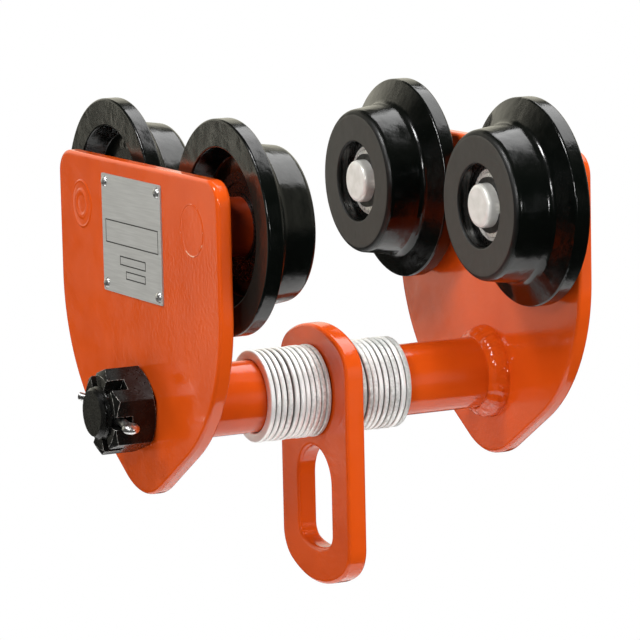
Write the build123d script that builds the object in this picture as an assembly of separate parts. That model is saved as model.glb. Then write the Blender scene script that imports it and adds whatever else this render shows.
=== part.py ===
from build123d import *
import os
from math import acos, asin, cos, degrees, radians, sin, tan

# Manual beam trolley. Two side plates carry four flanged wheels that run on the lower flange
# of an I-beam. A cross shaft below the beam joins the plates and carries a slotted hanger
# plate between two packs of spacer washers.
#
# Millimetres. X runs along the cross shaft, from the nut side (left) to the welded side
# (right). Y runs along the beam, with the front at -Y. Z is up. The origin lies midway
# between the four wheels, level with the middle of their treads, where they stand on the beam.

# Clearances
fit_clearance = 0.01         # radial, in pressed, riveted and welded seats
ball_clearance = 0.03        # radial, of a ball in its races
pocket_clearance = 0.12      # of a ball in its cage pocket
loose_clearance = 0.35       # radial, of the washers and the hanger on the shaft
side_clearance = 0.25        # between neighbouring washers, and beside the hanger
thread_clearance = 0.3       # radial, of the threaded end in the left plate
cotter_clearance = 0.25      # radial, of the cotter pin in the shaft

# Side plates
plate_gap = 144.4            # between their inner faces
plate_thickness = 6.0
plate_side_margin = 22.0     # from an axle to the upright side
plate_top_margin = 19.7      # from an axle to the top edge
plate_tip_drop = 32.9        # from the shaft axis down to the tip
plate_corner_radius = 9.0    # at the two top corners
plate_tip_radius = 30.0
plate_flank_radius = 68.0    # between the sloping flank and the leaning side
plate_shoulder_radius = 66.0
plate_flank_slope = 32.0     # degrees from level
plate_shoulder_lean = 20.0   # degrees from upright, where the side meets the flank's curve
plate_edge_radius = 1.5      # of the painted edges

# Wheels
flange_diameter = 80.0
flange_thickness = 6.2       # width of the rim
flange_taper = 4.8           # depth of the cone between the rim and the tread
flange_gap = 5.4             # from the side plate to the back of the wheel
wheel_spacing = 20.0         # clear space between the two flanges on one side
flange_above_shaft = 33.0    # from the shaft axis to the lowest point of a flange
tread_root_diameter = 61.2
tread_taper = 8.0            # degrees
tread_edge_radius = 3.0
tread_root_radius = 3.4
recess_depth = 8.2           # of the hollow back
recess_rim = 6.0             # ledge round the bearing at the bottom of the hollow
recess_draft = 3.5           # widening of the hollow towards its mouth
lip_length = 5.4             # of the lip that stops the bearing
lip_height = 4.1             # of that lip above the bearing seat
wheel_edge_radius = 0.9      # of the other cast edges

# Deep-groove ball bearings
bearing_bore = 17.0
bearing_outside = 40.0
ring_wall = 2.375            # thinnest ring wall, under the race
race_share = 0.3             # land height, as a share of the ball's diameter
ball_count = 8
ball_side_room = 2.625       # from the balls to the faces of the rings
cage_thickness = 1.7         # radial
cage_rail = 0.6              # beside the balls
shield_thickness = 0.8
shield_inset = 0.4           # from the faces of the rings
shield_seat = 0.8            # depth of the shield's groove in the outer ring
shield_gap = 0.25            # radial, between the shield and the inner ring

# Axle pins and circlips
shank_diameter = 19.0        # in the side plate
collar_diameter = 22.0       # between the plate and the bearing
stub_stand = 0.4             # of the pin's end beyond the wheel
stub_edge_radius = 1.9
clip_thickness = 1.0
clip_groove_depth = 0.4
clip_height = 2.2            # of the circlip above the pin
clip_mouth = 5.0
clip_turn = -90.0            # degrees, of the mouth from upright about the axle
clip_lug_radius = 1.7
clip_eye_radius = 0.7

# Cross shaft and its weld
shaft_diameter = 28.0
thread_diameter = 20.0
thread_stand = 3.2           # of the threaded end beyond the nut
thread_chamfer = 1.2
spigot_diameter = 20.0       # in the right plate
weld_length = 7.0            # along the shaft
weld_height = 4.4            # up the plate
weld_crown = 0.9             # rise of the bead above its straight chord

# Slotted nut and cotter pin
nut_across_flats = 29.5
nut_height = 17.0
nut_chamfer_angle = 30.0     # degrees
nut_chamfer_bite = 0.6       # from the flats to the chamfer circle
slot_depth = 7.0
slot_tilt = 9.0              # degrees, of the cotter pin from level, down to the front
cotter_diameter = 3.4
cotter_slot_room = 0.8       # on each side of the pin in its slot
cotter_split = 0.1           # between the two half-round legs
cotter_neck_stand = 2.6      # from the nut to where the eye opens
cotter_neck_radius = 3.0
cotter_eye_radius = 1.7
cotter_leg_stand = 0.8       # from the nut to where the legs spread
cotter_spread = 30.0         # degrees
cotter_tip_length = 4.0

# Hanger plate
hanger_offset = -1.5         # of its middle from the middle of the shaft
hanger_thickness = 8.0
hanger_width = 57.2
hanger_top = 25.6            # above the shaft axis
hanger_bottom = 76.3         # below the shaft axis
hanger_end_radius = 45.0
hanger_corner_radius = 14.0
hanger_edge_radius = 1.5
hook_slot_width = 27.4
hook_slot_top = 22.4         # below the shaft axis
hook_slot_bottom = 62.0      # below the shaft axis
hook_slot_end_radius = 30.0
hook_slot_corner_radius = 5.5

# Spacer washers
washer_rim = 3.55            # radial width
washer_thickness = 2.15
washer_edge_radius = 0.35
pack_count = 10              # loose washers in each pack, besides the one beside the hanger

# Name plate
name_plate_width = 53.4
name_plate_height = 45.0
name_plate_thickness = 0.6
name_plate_corner = 0.8
name_plate_drop = 5.7        # from the top edge of the side plate
name_plate_offset = 2.7      # of its middle, towards the back
rivet_inset = 3.0            # from the edges of the name plate
rivet_head_diameter = 4.2
rivet_head_height = 1.3
rivet_shank_diameter = 2.4
rivet_grip = 4.0             # depth in the side plate

# Sizes and places that follow from the values above
shaft_radius = shaft_diameter / 2
thread_radius = thread_diameter / 2
spigot_radius = spigot_diameter / 2
wheelbase = flange_diameter + wheel_spacing
inner_face = plate_gap / 2
outer_face = inner_face + plate_thickness

ball_diameter = (bearing_outside - bearing_bore) / 2 - 2 * ring_wall
ball_radius = ball_diameter / 2
pitch_radius = (bearing_outside + bearing_bore) / 4
inner_land_radius = pitch_radius - race_share * ball_diameter
outer_land_radius = pitch_radius + race_share * ball_diameter
bearing_width = ball_diameter + 2 * ball_side_room

# Distances along an axle, from the inner face of the side plate
wheel_back = flange_gap
rim_front = wheel_back + flange_thickness
tread_root = rim_front + flange_taper
bearing_back = wheel_back + recess_depth
bearing_front = bearing_back + bearing_width
bearing_middle = (bearing_back + bearing_front) / 2
wheel_front = bearing_front + lip_length
stub_end = wheel_front + stub_stand

tread_root_r = tread_root_diameter / 2
tread_end_r = tread_root_r - (wheel_front - tread_root) * tan(radians(tread_taper))
running_radius = (tread_root_r + tread_end_r) / 2
axle_z = running_radius
shaft_z = axle_z - flange_diameter / 2 - flange_above_shaft
plate_top = axle_z + plate_top_margin
journal_radius = bearing_bore / 2 - fit_clearance
clip_groove_radius = journal_radius - clip_groove_depth
loose_bore_radius = shaft_radius + loose_clearance
washer_pitch = washer_thickness + side_clearance

# Left is the nut side. A right-hand corner is the left-hand one turned half round about Z.
corners = {
    "left_front": Location((-inner_face, -wheelbase / 2, axle_z)),
    "left_back": Location((-inner_face, wheelbase / 2, axle_z)),
    "right_front": Location((inner_face, -wheelbase / 2, axle_z), (0, 0, 180)),
    "right_back": Location((inner_face, wheelbase / 2, axle_z), (0, 0, 180)),
}
on_shaft = Location((0, 0, shaft_z))


def turned(points, radii=0):
    """A solid of revolution about X. Points are (distance along X, radius)."""
    profile = FilletPolyline(points, radius=radii, close=True)
    return revolve(make_face(profile), Axis.X)


def ring(low, high, inner_radius, outer_radius, edge_radius=0):
    """A ring about X, with plain or rounded edges."""
    corner_points = [
        (low, inner_radius),
        (low, outer_radius),
        (high, outer_radius),
        (high, inner_radius),
    ]
    return turned(corner_points, edge_radius)


def rod(low, high, radius):
    """A plain round bar along X."""
    return ring(low, high, 0, radius)


def smooth_path(start, heading, steps):
    """Edges that follow each other smoothly: a run is (length,), a bend is (radius, turn)."""
    edges = []
    place = Vector(*start)
    for step in steps:
        tangent = Vector(cos(radians(heading)), sin(radians(heading)))
        if len(step) == 1:
            edges.append(Line(place, place + tangent * step[0]))
        else:
            radius, turn = step
            edges.append(JernArc(place, tangent, radius, turn))
            heading += turn
        place = edges[-1] @ 1
    return edges


def mirrored_face(half):
    """The face inside half an outline and its mirror image across the upright middle line."""
    other_half = [mirror(edge, about=Plane.YZ) for edge in half]
    return make_face(half + other_half)


def upright_plate(face, low, high):
    """A face drawn in Y and Z, as a plate from one place along X to another."""
    return extrude(Plane.YZ.offset(low) * face, high - low)


def round_rims(plate, low, high, radius):
    """Round the edges of a plate's two faces."""
    face_edges = plate.edges().filter_by_position(Axis.X, low, low)
    face_edges += plate.edges().filter_by_position(Axis.X, high, high)
    return fillet(face_edges, radius)


def side_plate_blank(low):
    """Shield-shaped plate with a rounded tip below the shaft."""
    lean_rise = 90 - plate_shoulder_lean - plate_flank_slope
    half_width = wheelbase / 2 + plate_side_margin
    slope = radians(plate_flank_slope)
    lean = radians(plate_shoulder_lean)
    flank_reach = half_width - plate_tip_radius * sin(slope)
    flank_reach -= plate_flank_radius * (cos(lean) - sin(slope))
    flank_reach -= plate_shoulder_radius * (1 - cos(lean))
    flank_length = flank_reach / cos(slope)
    tip_z = shaft_z - plate_tip_drop
    side_start_z = tip_z + plate_tip_radius * (1 - cos(slope)) + flank_length * sin(slope)
    side_start_z += plate_flank_radius * (cos(slope) - sin(lean)) + plate_shoulder_radius * sin(lean)
    half = smooth_path((0, tip_z), 0, [
        (plate_tip_radius, plate_flank_slope),
        (flank_length,),
        (plate_flank_radius, lean_rise),
        (plate_shoulder_radius, plate_shoulder_lean),
        (plate_top - plate_corner_radius - side_start_z,),
        (plate_corner_radius, 90),
        (half_width - plate_corner_radius,),
    ])
    blank = upright_plate(mirrored_face(half), low, low + plate_thickness)
    return round_rims(blank, low, low + plate_thickness, plate_edge_radius)


def axle_holes(low):
    """Bars that cut the two axle holes of a side plate."""
    hole = rod(low, low + plate_thickness, shank_diameter / 2 + fit_clearance)
    return [Location((0, y, axle_z)) * hole for y in (-wheelbase / 2, wheelbase / 2)]


def rivet_places():
    """Middles of the four name plate rivets, as Y and Z."""
    half_y = name_plate_width / 2 - rivet_inset
    half_z = name_plate_height / 2 - rivet_inset
    middle_z = plate_top - name_plate_drop - name_plate_height / 2
    sides = (-1, 1)
    return [(name_plate_offset + sy * half_y, middle_z + sz * half_z) for sy in sides for sz in sides]


def left_side_plate():
    """The loose plate, held on the shaft by the nut."""
    plate = side_plate_blank(-outer_face)
    plate -= axle_holes(-outer_face)
    plate -= on_shaft * rod(-outer_face, -inner_face, thread_radius + thread_clearance)
    hole_radius = rivet_shank_diameter / 2 + fit_clearance
    rivet_hole = rod(-outer_face, -outer_face + rivet_grip, hole_radius)
    plate -= [Location((0, y, z)) * rivet_hole for y, z in rivet_places()]
    return plate


def right_side_plate():
    """The plate that the shaft is welded to."""
    plate = side_plate_blank(inner_face)
    plate -= axle_holes(inner_face)
    plate -= on_shaft * rod(inner_face, outer_face, spigot_radius + fit_clearance)
    return plate


def wheel():
    """Cast wheel with a flange, a tapered tread, a hollow back and a lipped bearing seat."""
    seat_radius = bearing_outside / 2 + fit_clearance
    floor_radius = seat_radius + recess_rim
    lip_radius = seat_radius - lip_height
    return turned(
        [
            (wheel_back, floor_radius + recess_draft),
            (wheel_back, flange_diameter / 2),
            (rim_front, flange_diameter / 2),
            (tread_root, tread_root_r),
            (wheel_front, tread_end_r),
            (wheel_front, lip_radius),
            (bearing_front, lip_radius),
            (bearing_front, seat_radius),
            (bearing_back, seat_radius),
            (bearing_back, floor_radius),
        ],
        [
            wheel_edge_radius,
            wheel_edge_radius,
            wheel_edge_radius,
            tread_root_radius,
            tread_edge_radius,
            wheel_edge_radius,
            0,
            0,
            0,
            wheel_edge_radius,
        ],
    )


def axle_pin():
    """Turned pin: shank in the plate, collar, journal with a circlip groove, rounded end."""
    shank_radius = shank_diameter / 2
    groove_start = bearing_front
    groove_end = groove_start + clip_thickness + 2 * fit_clearance
    points = [
        (-plate_thickness, 0),
        (-plate_thickness, shank_radius),
        (0, shank_radius),
        (0, collar_diameter / 2),
        (bearing_back, collar_diameter / 2),
        (bearing_back, journal_radius),
        (groove_start, journal_radius),
        (groove_start, clip_groove_radius),
        (groove_end, clip_groove_radius),
        (groove_end, journal_radius),
        (stub_end, journal_radius),
        (stub_end, 0),
    ]
    sharp_corners = [0 for point in points[:-2]]
    return turned(points, sharp_corners + [stub_edge_radius, 0])


def circlip():
    """Open spring ring with two eyed lugs, in the groove of the axle pin."""
    low = bearing_front + fit_clearance
    high = low + clip_thickness
    outer_radius = journal_radius + clip_height
    lug_y = clip_mouth / 2 + clip_lug_radius
    lug_z = outer_radius + clip_lug_radius / 2
    clip = ring(low, high, clip_groove_radius + fit_clearance, outer_radius)
    clip += [Location((0, sy * lug_y, lug_z)) * rod(low, high, clip_lug_radius) for sy in (-1, 1)]
    mouth = Box(clip_thickness, clip_mouth, 2 * outer_radius)
    clip -= Location(((low + high) / 2, 0, outer_radius)) * mouth
    clip -= [Location((0, sy * lug_y, lug_z)) * rod(low, high, clip_eye_radius) for sy in (-1, 1)]
    return Rotation(clip_turn, 0, 0) * clip


def race():
    """Ring that clears the balls out of both bearing rings."""
    section = Location((bearing_middle, pitch_radius)) * Circle(ball_radius + ball_clearance)
    return revolve(section, Axis.X)


def shield_span(side):
    """Both faces of a bearing shield; side is 0 for the back one and 1 for the front one."""
    back = bearing_back + shield_inset
    front = bearing_front - shield_inset - shield_thickness
    low = (back, front)[side]
    return low, low + shield_thickness


def bearing_outer_ring():
    """Outer ring with its race and a groove for each shield."""
    body = ring(bearing_back, bearing_front, outer_land_radius, bearing_outside / 2) - race()
    for side in (0, 1):
        low, high = shield_span(side)
        body -= ring(low, high, outer_land_radius, outer_land_radius + shield_seat)
    return body


def bearing_inner_ring():
    """Inner ring with its race."""
    return ring(bearing_back, bearing_front, bearing_bore / 2, inner_land_radius) - race()


def ball_places():
    """Middles of the balls."""
    ring_of_balls = PolarLocations(pitch_radius, ball_count)
    return [Plane.YZ.offset(bearing_middle).location * spot for spot in ring_of_balls]


def bearing_balls():
    """The balls, one solid each."""
    return [spot * Sphere(ball_radius) for spot in ball_places()]


def bearing_cage():
    """Ring with a round pocket for each ball."""
    half_width = ball_radius + pocket_clearance + cage_rail
    half_wall = cage_thickness / 2
    cage = ring(
        bearing_middle - half_width,
        bearing_middle + half_width,
        pitch_radius - half_wall,
        pitch_radius + half_wall,
    )
    pocket = Rotation(0, 90, 0) * Cylinder(ball_radius + pocket_clearance, 2 * cage_thickness)
    return cage - [spot * pocket for spot in ball_places()]


def bearing_shields():
    """The two dust shields, held in the outer ring."""
    inner_radius = inner_land_radius + shield_gap
    outer_radius = outer_land_radius + shield_seat - fit_clearance
    return [ring(*shield_span(side), inner_radius, outer_radius) for side in (0, 1)]


def cotter_plane():
    """Plane of the cotter pin: X points along the pin to the front, Y points along the shaft."""
    tilt = radians(slot_tilt)
    middle = (-outer_face - nut_height + slot_depth / 2, 0, shaft_z)
    along = (0, -cos(tilt), -sin(tilt))
    normal = (0, -sin(tilt), cos(tilt))
    return Plane(origin=middle, x_dir=along, z_dir=normal)


def cross_shaft():
    """Shouldered bar: threaded end on the left with a cross hole, welded spigot on the right."""
    thread_end = -outer_face - nut_height - thread_stand
    shaft = on_shaft * turned([
        (thread_end, 0),
        (thread_end, thread_radius - thread_chamfer),
        (thread_end + thread_chamfer, thread_radius),
        (-inner_face, thread_radius),
        (-inner_face, shaft_radius),
        (inner_face, shaft_radius),
        (inner_face, spigot_radius),
        (outer_face, spigot_radius),
        (outer_face, 0),
    ])
    cross_hole = rod(-thread_diameter, thread_diameter, cotter_diameter / 2 + cotter_clearance)
    return shaft - cotter_plane() * cross_hole


def shaft_weld():
    """Convex weld bead round the shaft, on the inner face of the right plate."""
    root = (inner_face, shaft_radius + fit_clearance)
    toe = (inner_face - weld_length, shaft_radius + fit_clearance)
    top = (inner_face, shaft_radius + weld_height)
    middle = ((toe[0] + top[0]) / 2 - weld_crown, (toe[1] + top[1]) / 2 + weld_crown)
    section = make_face([Line(root, toe), ThreePointArc(toe, middle, top), Line(top, root)])
    return on_shaft * revolve(section, Axis.X)


def castle_nut():
    """Hexagon nut with six slots across its outer end and a chamfer on both ends."""
    seat = -outer_face
    end = seat - nut_height
    side_turn = 60
    half_turn = side_turn / 2
    corner_radius = nut_across_flats / 2 / cos(radians(half_turn))
    chamfer_radius = nut_across_flats / 2 - nut_chamfer_bite
    chamfer_length = (corner_radius - chamfer_radius) * tan(radians(nut_chamfer_angle))
    hexagon = RegularPolygon(corner_radius, 6, rotation=slot_tilt + half_turn)
    nut = on_shaft * upright_plate(hexagon, end, seat)
    nut &= on_shaft * turned([
        (end, thread_radius + fit_clearance),
        (end, chamfer_radius),
        (end + chamfer_length, corner_radius),
        (seat - chamfer_length, corner_radius),
        (seat, chamfer_radius),
        (seat, thread_radius + fit_clearance),
    ])
    slot_width = cotter_diameter + 2 * cotter_slot_room
    slot = Box(slot_depth, 2 * corner_radius, slot_width)
    slot_middle = Location((end + slot_depth / 2, 0, shaft_z))
    turns = (slot_tilt, slot_tilt + side_turn, slot_tilt - side_turn)
    return nut - [slot_middle * Rotation(turn, 0, 0) * slot for turn in turns]


def cotter_pin():
    """Half-round wire bent double: an eye at the front, two legs that spread at the back."""
    wire_radius = cotter_diameter / 2 - cotter_split / 2
    leg_w = cotter_split / 2
    neck = nut_across_flats / 2 + cotter_neck_stand
    leg_end = -(nut_across_flats / 2 + cotter_leg_stand)
    eye_turn = degrees(acos((leg_w + cotter_neck_radius) / (cotter_eye_radius + cotter_neck_radius)))
    spread = radians(cotter_spread)
    tip_s = leg_end - cotter_neck_radius * sin(spread) - cotter_tip_length * cos(spread)
    tip_w = leg_w + cotter_neck_radius * (1 - cos(spread)) + cotter_tip_length * sin(spread)
    path = smooth_path((tip_s, tip_w), -cotter_spread, [
        (cotter_tip_length,),
        (cotter_neck_radius, cotter_spread),
        (neck - leg_end,),
        (cotter_neck_radius, eye_turn),
        (cotter_eye_radius, -180 - 2 * eye_turn),
        (cotter_neck_radius, eye_turn),
        (neck - leg_end,),
        (cotter_neck_radius, cotter_spread),
        (cotter_tip_length,),
    ])
    heading = Vector(cos(spread), -sin(spread), 0)
    across = Vector(sin(spread), cos(spread), 0)
    end_plane = Plane(origin=(tip_s, tip_w, 0), x_dir=across, z_dir=heading)
    half_round = make_face([
        CenterArc((0, 0), wire_radius, -90, 180),
        Line((0, wire_radius), (0, -wire_radius)),
    ])
    return cotter_plane() * sweep(end_plane * half_round, path=Wire(path))


def hanger_plate():
    """Round-ended plate that hangs on the shaft, with a slot for the hoist's hook."""
    low = hanger_offset - hanger_thickness / 2
    high = low + hanger_thickness
    end_bend = hanger_end_radius - hanger_corner_radius
    end_turn = degrees(asin((hanger_width / 2 - hanger_corner_radius) / end_bend))
    end_rise = hanger_end_radius - end_bend * cos(radians(end_turn))
    half = smooth_path((0, shaft_z - hanger_bottom), 0, [
        (hanger_end_radius, end_turn),
        (hanger_corner_radius, 90 - end_turn),
        (hanger_bottom + hanger_top - 2 * end_rise,),
        (hanger_corner_radius, 90 - end_turn),
        (hanger_end_radius, end_turn),
    ])
    slot_half = hook_slot_width / 2
    slot_bend = hook_slot_end_radius - hook_slot_corner_radius
    slot_turn = degrees(asin((slot_half - hook_slot_corner_radius) / slot_bend))
    slot_rise = hook_slot_end_radius - slot_bend * cos(radians(slot_turn))
    half_slot = smooth_path((0, shaft_z - hook_slot_bottom), 0, [
        (hook_slot_end_radius, slot_turn),
        (hook_slot_corner_radius, 90 - slot_turn),
        (hook_slot_bottom - hook_slot_top - slot_rise - slot_half,),
        (slot_half, 90),
    ])
    plate = upright_plate(mirrored_face(half) - mirrored_face(half_slot), low, high)
    plate = round_rims(plate, low, high, hanger_edge_radius)
    return plate - on_shaft * rod(low, high, loose_bore_radius)


def washer(low):
    """One spacer washer, from its left face."""
    high = low + washer_thickness
    outer_radius = loose_bore_radius + washer_rim
    return on_shaft * ring(low, high, loose_bore_radius, outer_radius, washer_edge_radius)


def washers_left(first, last):
    """Washers on the left of the hanger, counted outwards from 0."""
    start = hanger_offset - hanger_thickness / 2
    return [washer(start - (place + 1) * washer_pitch) for place in range(first, last)]


def washers_right(first, last):
    """Washers on the right of the hanger, counted outwards from 0."""
    start = hanger_offset + hanger_thickness / 2 + side_clearance
    return [washer(start + place * washer_pitch) for place in range(first, last)]


def name_plate():
    """Thin riveted plate on the outer face of the left plate."""
    middle_z = plate_top - name_plate_drop - name_plate_height / 2
    outline = Location((name_plate_offset, middle_z)) * RectangleRounded(
        name_plate_width, name_plate_height, name_plate_corner
    )
    plate = upright_plate(outline, -outer_face - name_plate_thickness, -outer_face)
    hole_radius = rivet_shank_diameter / 2 + fit_clearance
    hole = rod(-outer_face - name_plate_thickness, -outer_face, hole_radius)
    return plate - [Location((0, y, z)) * hole for y, z in rivet_places()]


def name_plate_rivets():
    """Four dome-headed drive rivets."""
    seat = -outer_face - name_plate_thickness
    head_radius = rivet_head_diameter / 2
    shank_radius = rivet_shank_diameter / 2
    crown = (seat - rivet_head_height, 0)
    rim = (seat, head_radius)
    dome_radius = (head_radius**2 + rivet_head_height**2) / (2 * rivet_head_height)
    half_sweep = asin(head_radius / dome_radius) / 2
    dome_middle = seat + dome_radius - rivet_head_height
    side = (dome_middle - dome_radius * cos(half_sweep), dome_radius * sin(half_sweep))
    tail = -outer_face + rivet_grip
    section = make_face([
        ThreePointArc(crown, side, rim),
        Polyline(rim, (seat, shank_radius), (tail, shank_radius), (tail, 0), crown),
    ])
    rivet = revolve(section, Axis.X)
    return [Location((0, y, z)) * rivet for y, z in rivet_places()]


corner_pieces = {
    "wheel": wheel,
    "axle_pin": axle_pin,
    "circlip": circlip,
    "bearing_outer_ring": bearing_outer_ring,
    "bearing_inner_ring": bearing_inner_ring,
    "bearing_balls": bearing_balls,
    "bearing_cage": bearing_cage,
    "bearing_shields": bearing_shields,
}

nodes = {
    "left_side_plate": left_side_plate(),
    "right_side_plate": right_side_plate(),
    "cross_shaft": cross_shaft(),
    "shaft_weld": shaft_weld(),
    "castle_nut": castle_nut(),
    "cotter_pin": cotter_pin(),
    "hanger_plate": hanger_plate(),
    "hanger_washers": washers_left(0, 1) + washers_right(0, 1),
    "left_spacer_washers": washers_left(1, pack_count + 1),
    "right_spacer_washers": washers_right(1, pack_count + 1),
    "name_plate": name_plate(),
    "name_plate_rivets": name_plate_rivets(),
}
for piece, make_piece in corner_pieces.items():
    shape = make_piece()
    solids = shape if isinstance(shape, list) else [shape]
    for corner, place in corners.items():
        nodes[f"{corner}_{piece}"] = [place * solid for solid in solids]

os.makedirs("parts", exist_ok=True)
for node, shape in nodes.items():
    group = Compound(children=shape) if isinstance(shape, list) else shape
    export_step(group, f"parts/{node}.step")
    print(node, round(group.volume, 2))
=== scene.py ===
# %% [markdown]
# # Dressing a manual beam trolley
# The trolley's pieces come from a solid model, at their real size and in their real places.
# This lesson gives them their looks: paint, plating, wear, and the shapes that a turned or
# cut solid does not have, such as a lumpy weld or washers that hang unevenly on a shaft.
# The first step loads the solid pieces, which stay where they are, and keeps their box.

# %% Load the solid pieces
import math
import random

import bmesh
import bpy
from mathutils import Matrix, Vector


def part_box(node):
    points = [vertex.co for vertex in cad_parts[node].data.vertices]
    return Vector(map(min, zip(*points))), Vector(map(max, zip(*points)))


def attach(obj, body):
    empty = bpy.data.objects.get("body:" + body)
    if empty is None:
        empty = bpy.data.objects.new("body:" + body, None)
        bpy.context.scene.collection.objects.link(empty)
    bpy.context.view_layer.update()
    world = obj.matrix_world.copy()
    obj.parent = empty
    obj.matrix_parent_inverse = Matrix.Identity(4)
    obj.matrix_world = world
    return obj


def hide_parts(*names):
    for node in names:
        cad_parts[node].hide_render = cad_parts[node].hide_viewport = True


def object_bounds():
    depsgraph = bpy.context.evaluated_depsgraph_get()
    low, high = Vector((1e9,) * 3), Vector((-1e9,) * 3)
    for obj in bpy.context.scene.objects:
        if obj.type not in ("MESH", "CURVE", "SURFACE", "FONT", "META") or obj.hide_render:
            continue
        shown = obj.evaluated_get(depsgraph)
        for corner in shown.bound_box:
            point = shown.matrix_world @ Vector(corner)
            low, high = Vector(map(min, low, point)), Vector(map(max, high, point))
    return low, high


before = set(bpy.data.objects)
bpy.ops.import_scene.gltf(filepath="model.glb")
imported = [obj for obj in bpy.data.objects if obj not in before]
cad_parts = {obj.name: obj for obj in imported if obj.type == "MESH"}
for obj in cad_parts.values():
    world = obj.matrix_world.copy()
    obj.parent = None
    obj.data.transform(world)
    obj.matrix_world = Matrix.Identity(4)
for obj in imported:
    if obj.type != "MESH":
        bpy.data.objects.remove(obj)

MM = 0.001
cad_low, cad_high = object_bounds()
print("solid pieces:", len(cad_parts))
print("their box, mm:", [round(c / MM, 1) for c in (*cad_low, *cad_high)])

# %% [markdown]
# ## Places that the rest is measured from
# On the real trolley everything is set out from two side plates, four axles and one cross
# shaft. The boxes of the solid pieces give all of these, so no place is typed twice.

# %% Measure the plates, axles and shaft
plate_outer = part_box("left_side_plate")[0].x
plate_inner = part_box("left_side_plate")[1].x
axles = {}
for corner in ("left_front", "left_back", "right_front", "right_back"):
    wheel_low, wheel_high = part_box(f"{corner}_wheel")
    axles[corner] = (wheel_low + wheel_high) / 2
axle_reach = axles["left_back"].y
axle_height = axles["left_back"].z
bar_low, bar_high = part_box("cross_shaft")
shaft_radius = (bar_high.y - bar_low.y) / 2
shaft_axis = Vector((0, 0, (bar_low.z + bar_high.z) / 2))
print("plate faces, mm:", round(plate_outer / MM, 2), round(plate_inner / MM, 2))
print("shaft radius and height, mm:", round(shaft_radius / MM, 2), round(shaft_axis.z / MM, 2))

# %% [markdown]
# ## Camera
# The photograph was taken from the nut side, a little above the shaft, with a long lens from
# about one and a half metres. The camera is set by its target, its distance and its angles,
# with a small roll, because the trolley stands slightly askew in the picture.

# %% Set up the camera
CAMERA_TARGET = Vector((-1.40, 0, -16.58)) * MM
CAMERA_DISTANCE = 1435.55 * MM
CAMERA_AZIMUTH = math.radians(-26.88)
CAMERA_ELEVATION = math.radians(8.80)
CAMERA_ROLL = math.radians(-1.255)
CAMERA_LENS = 209.03

level = math.cos(CAMERA_ELEVATION)
backward = Vector((
    math.sin(CAMERA_AZIMUTH) * level,
    -math.cos(CAMERA_AZIMUTH) * level,
    math.sin(CAMERA_ELEVATION),
))
sideways = Vector((0, 0, 1)).cross(backward).normalized()
upward = backward.cross(sideways)
facing = Matrix((sideways, upward, backward)).transposed().to_4x4()
camera_data = bpy.data.cameras.new("photo_camera")
camera_data.lens = CAMERA_LENS
camera = bpy.data.objects.new("photo_camera", camera_data)
bpy.context.collection.objects.link(camera)
stand = Matrix.Translation(CAMERA_TARGET + backward * CAMERA_DISTANCE)
camera.matrix_world = stand @ facing @ Matrix.Rotation(CAMERA_ROLL, 4, "Z")
bpy.context.scene.camera = camera
bpy.context.scene.view_settings.view_transform = "Standard"
print("camera at, mm:", [round(c / MM) for c in camera.matrix_world.translation])

# %% [markdown]
# ## Helpers for modelling
# An operator acts on everything that is selected, so each step first selects one piece alone.
# A finished piece moves with the body that carries it, takes a finish, and may stand for a
# solid piece.

# %% Define the modelling helpers
def select_only(*pieces):
    """Select these pieces and nothing else; the first one is active."""
    bpy.ops.object.select_all(action="DESELECT")
    for piece in pieces:
        piece.select_set(True)
    if pieces:
        bpy.context.view_layer.objects.active = pieces[0]


def settle(piece, place=Matrix.Identity(4)):
    """Put a piece in place and move that place into its mesh."""
    bpy.context.view_layer.update()
    piece.matrix_world = place @ piece.matrix_world
    select_only(piece)
    bpy.ops.object.transform_apply(location=True, rotation=True, scale=True)
    return piece


def copy_of(piece, name, place):
    """A copy with a mesh of its own, at another place."""
    copy = piece.copy()
    copy.data = piece.data.copy()
    copy.name = name
    bpy.context.collection.objects.link(copy)
    return settle(copy, place)


def joined(pieces, name):
    """Several pieces as one object."""
    select_only(*pieces)
    bpy.ops.object.join()
    pieces[0].name = name
    return pieces[0]


def apply_modifier(piece, kind, **settings):
    """Add a modifier to a piece and apply it."""
    modifier = piece.modifiers.new(kind.lower(), kind)
    for setting, value in settings.items():
        setattr(modifier, setting, value)
    select_only(piece)
    bpy.ops.object.modifier_apply(modifier=modifier.name)


def finish_piece(piece, body, material, smooth_angle=35):
    """Shade a piece, give it its material and slot, and let it move with a body."""
    select_only(piece)
    bpy.ops.object.shade_smooth_by_angle(angle=math.radians(smooth_angle))
    if not piece.data.materials:
        piece.data.materials.append(material)
    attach(piece, body)
    print(piece.name, "faces:", len(piece.data.polygons))


def coat_solid(node, material):
    """Give a solid piece its material."""
    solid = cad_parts[node]
    solid.data.materials.clear()
    solid.data.materials.append(material)


# %% [markdown]
# ## A lathe
# Rings, beads, rivets and shafts are turned shapes. In Blender a turned shape is half of its
# section, drawn as a line of vertices, with its corners rounded by a bevel, and spun about an
# axis. The section is given as steps of distance along the axis, radius and corner rounding.

# %% Define the lathe
ROUND_SEGMENTS = 4
MERGE_DISTANCE = 0.001 * MM


def select_spots(piece, spots):
    """In edit mode, select the vertices nearest to some spots."""
    bpy.ops.mesh.select_all(action="DESELECT")
    mesh = bmesh.from_edit_mesh(piece.data)
    for spot in spots:
        nearest = min(mesh.verts, key=lambda vertex: (vertex.co - spot).length)
        nearest.select_set(True)
    mesh.select_flush_mode()
    bmesh.update_edit_mesh(piece.data)


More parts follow.
